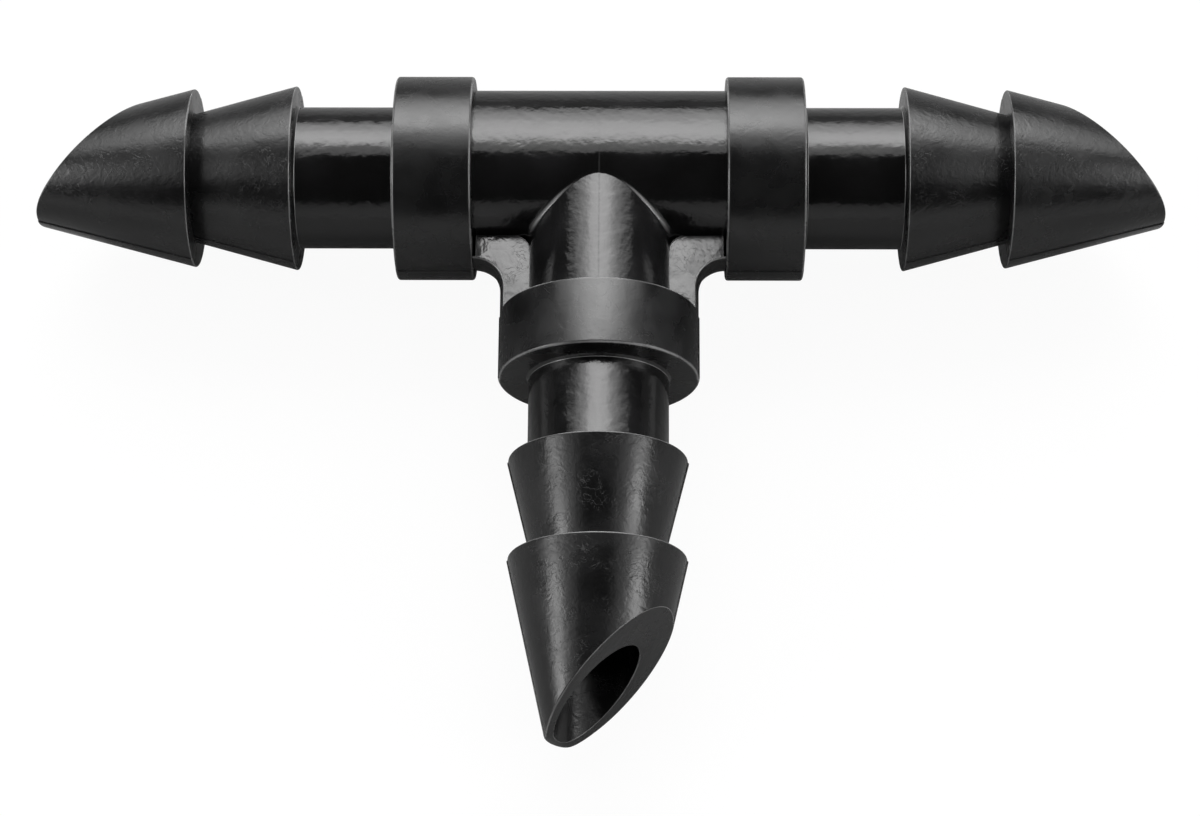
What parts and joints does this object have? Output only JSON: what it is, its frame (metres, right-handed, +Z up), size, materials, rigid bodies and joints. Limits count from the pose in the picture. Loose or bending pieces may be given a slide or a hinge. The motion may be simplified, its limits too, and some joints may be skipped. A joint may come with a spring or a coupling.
{
  "type": "barbed tee connector",
  "caption": "Black plastic irrigation tee with a straight run, a side branch, stop collars, double-barbed arms with slanted hollow noses, and corner webs.",
  "frame": {"origin": "where the axes of the run and the branch cross, on the mould's parting plane", "axes": "+X along the run, -Y out along the branch, +Z up, for a tee that lies flat"},
  "size_m": [0.0318, 0.0193, 0.0058],
  "materials": {
    "polished_black": "smooth and fairly glossy, as moulded by a polished steel",
    "satin_black": "satin, with fine swirling scuffs on the barbs and noses"
  },
  "bodies": {
    "root": {"run_body": "polished_black", "branch_neck": "polished_black", "left_web": "polished_black", "right_web": "polished_black", "left_collar": "satin_black", "left_hose_seat": "polished_black", "left_inner_barb": "satin_black", "left_nose": "satin_black", "right_collar": "satin_black", "right_hose_seat": "polished_black", "right_inner_barb": "satin_black", "right_nose": "satin_black", "branch_collar": "satin_black", "branch_hose_seat": "polished_black", "branch_inner_barb": "satin_black", "branch_nose": "satin_black"}
  },
  "joints": []
}
